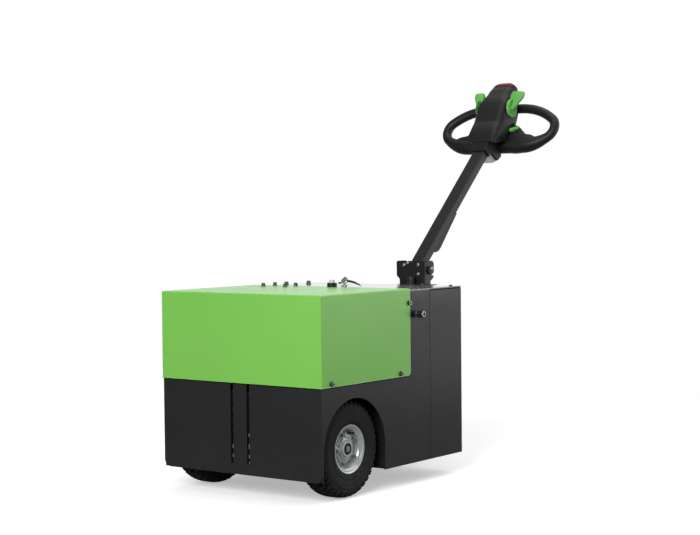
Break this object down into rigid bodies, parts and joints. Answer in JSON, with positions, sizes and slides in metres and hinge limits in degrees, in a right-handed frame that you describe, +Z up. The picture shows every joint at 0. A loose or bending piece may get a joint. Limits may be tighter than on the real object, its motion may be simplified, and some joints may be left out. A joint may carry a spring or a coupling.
{
  "type": "electric tow tug",
  "caption": "Pedestrian electric tow tug: boxed body with a green battery hood, driven wheels, a castor under the tail and a tilting tiller with a closed-loop handle.",
  "frame": {"origin": "on the floor, under the middle of the bounding box", "axes": "+Z up, -Y towards the hitch end under the hood, +Y towards the tiller, +X across the machine"},
  "size_m": [0.608, 1.4017, 1.1777],
  "materials": {
    "body_black": "satin textured powder coat",
    "hood_green": "semi-gloss powder coat",
    "frame_steel": "satin black paint",
    "seal_rubber": "matt",
    "cast_case": "as cast",
    "battery_case": "matt moulded",
    "tyre": "matt rubber",
    "zinc": "bright zinc plate",
    "castor_plastic": "matt moulded",
    "grip_black": "fine-textured moulding",
    "neck_grey": "satin cast",
    "lever_green": "semi-gloss moulding",
    "button_red": "semi-gloss moulding",
    "chrome_trim": "polished"
  },
  "bodies": {
    "chassis": {"front_panel": "body_black", "side_panel_right": "body_black", "side_panel_left": "body_black", "deck_plate": "body_black", "rear_side_right": "body_black", "rear_side_left": "body_black", "rear_panel": "body_black", "rear_lid": "body_black", "lid_seal": "seal_rubber", "belly_pan": "body_black", "bay_wall_right": "body_black", "bay_wall_left": "body_black", "battery_tray": "body_black", "hood": "hood_green", "hitch_rail": "frame_steel", "transaxle": "cast_case", "drive_motor": "frame_steel", "axle_mount_right": "frame_steel", "axle_mount_left": "frame_steel", "battery_pack": "battery_case", "tail_frame": "body_black", "castor_head": "zinc", "tiller_bracket": "body_black", "tiller_pin": "zinc", "bump_stop": "frame_steel", "deck_button": "grip_black", "key_switch": "chrome_trim", "pull_knob_right": "grip_black", "pull_knob_left": "grip_black"},
    "wheel_right": {"wheel_right_tyre": "tyre", "wheel_right_rim": "zinc", "wheel_right_hub": "zinc"},
    "wheel_left": {"wheel_left_tyre": "tyre", "wheel_left_rim": "zinc", "wheel_left_hub": "zinc"},
    "castor_fork": {"castor_fork": "zinc", "castor_axle": "zinc"},
    "castor_wheel": {"castor_core": "castor_plastic", "castor_tyre": "tyre"},
    "tiller": {"tiller_knuckle": "body_black", "tiller_arm": "body_black", "arm_cover": "grip_black", "head_shell": "grip_black", "head_neck": "neck_grey", "belly_button": "button_red", "speed_lever": "lever_green", "handle_loop": "grip_black", "thumb_lever_right": "lever_green", "thumb_lever_left": "lever_green"}
  },
  "joints": [
    {"name": "wheel_right_spin", "type": "hinge", "parent": "chassis", "child": "wheel_right", "pos_m": [0.2195, -0.55204, 0.13], "axis": [1, 0, 0], "continuous": true},
    {"name": "wheel_left_spin", "type": "hinge", "parent": "chassis", "child": "wheel_left", "pos_m": [-0.2195, -0.55204, 0.13], "axis": [1, 0, 0], "continuous": true},
    {"name": "castor_swivel", "type": "hinge", "parent": "chassis", "child": "castor_fork", "pos_m": [0, 0.10397, 0.18], "axis": [0, 0, 1], "continuous": true},
    {"name": "castor_roll", "type": "hinge", "parent": "castor_fork", "child": "castor_wheel", "pos_m": [0, 0.05896, 0.075], "axis": [1, 0, 0], "continuous": true},
    {"name": "tiller_tilt", "type": "hinge", "parent": "chassis", "child": "tiller", "pos_m": [0, 0.13997, 0.575], "axis": [1, 0, 0], "range_deg": [-30, 42]}
  ]
}
